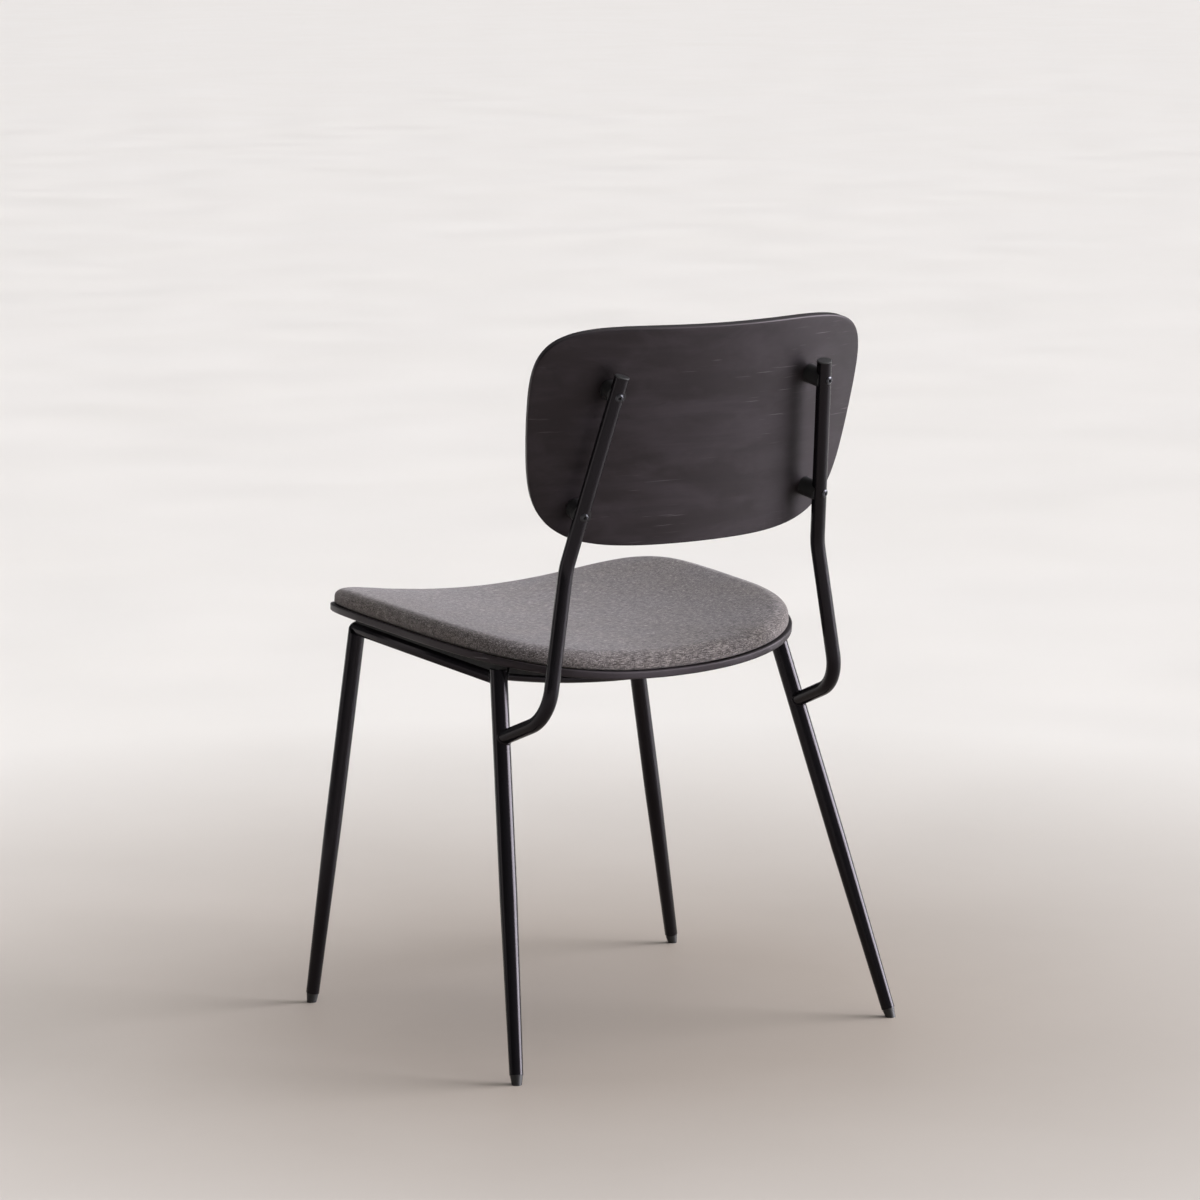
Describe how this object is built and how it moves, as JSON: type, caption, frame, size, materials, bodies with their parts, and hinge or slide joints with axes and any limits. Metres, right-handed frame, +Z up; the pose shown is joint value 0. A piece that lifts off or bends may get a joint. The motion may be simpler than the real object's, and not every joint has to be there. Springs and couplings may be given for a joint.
{
  "type": "dining chair",
  "caption": "Dining chair: splayed tapered tube legs, dished upholstered seat pad on a moulded shell, and a curved backrest held off two bent uprights.",
  "frame": {"origin": "on the floor, at the middle of the chair's outer box", "axes": "+Z up, +X to the sitter's left, +Y towards the backrest; the sitter faces -Y"},
  "size_m": [0.5078, 0.5005, 0.7909],
  "materials": {
    "powder_coat": "satin",
    "black_plastic": "matte",
    "black_rubber": "matte",
    "black_plywood": "satin",
    "raw_plywood": "matte",
    "foam": "matte",
    "grey_fabric": "matte",
    "black_screw": "satin",
    "zinc_steel": "satin",
    "brass_insert": "satin"
  },
  "bodies": {
    "root": {"leg_front_left": "powder_coat", "leg_front_right": "powder_coat", "leg_rear_left": "powder_coat", "leg_rear_right": "powder_coat", "glide_front_left": "black_plastic", "glide_front_right": "black_plastic", "glide_rear_left": "black_plastic", "glide_rear_right": "black_plastic", "side_rail_left": "powder_coat", "side_rail_right": "powder_coat", "cross_rail_front": "powder_coat", "cross_rail_rear": "powder_coat", "upright_left": "powder_coat", "upright_right": "powder_coat", "upright_cap_left": "black_plastic", "upright_cap_right": "black_plastic", "seat_shell": "black_plywood", "seat_pad_board": "raw_plywood", "seat_foam": "foam", "seat_cover": "grey_fabric", "seat_strip_left": "black_rubber", "seat_strip_right": "black_rubber", "seat_strip_front": "black_rubber", "seat_strip_rear": "black_rubber", "seat_bolts": "black_screw", "seat_tee_nuts": "zinc_steel", "pad_screws": "zinc_steel", "backrest_panel": "black_plywood", "backrest_spacer_upper_left": "black_plastic", "backrest_spacer_upper_right": "black_plastic", "backrest_spacer_lower_left": "black_plastic", "backrest_spacer_lower_right": "black_plastic", "backrest_screws": "black_screw", "backrest_inserts": "brass_insert"}
  },
  "joints": []
}
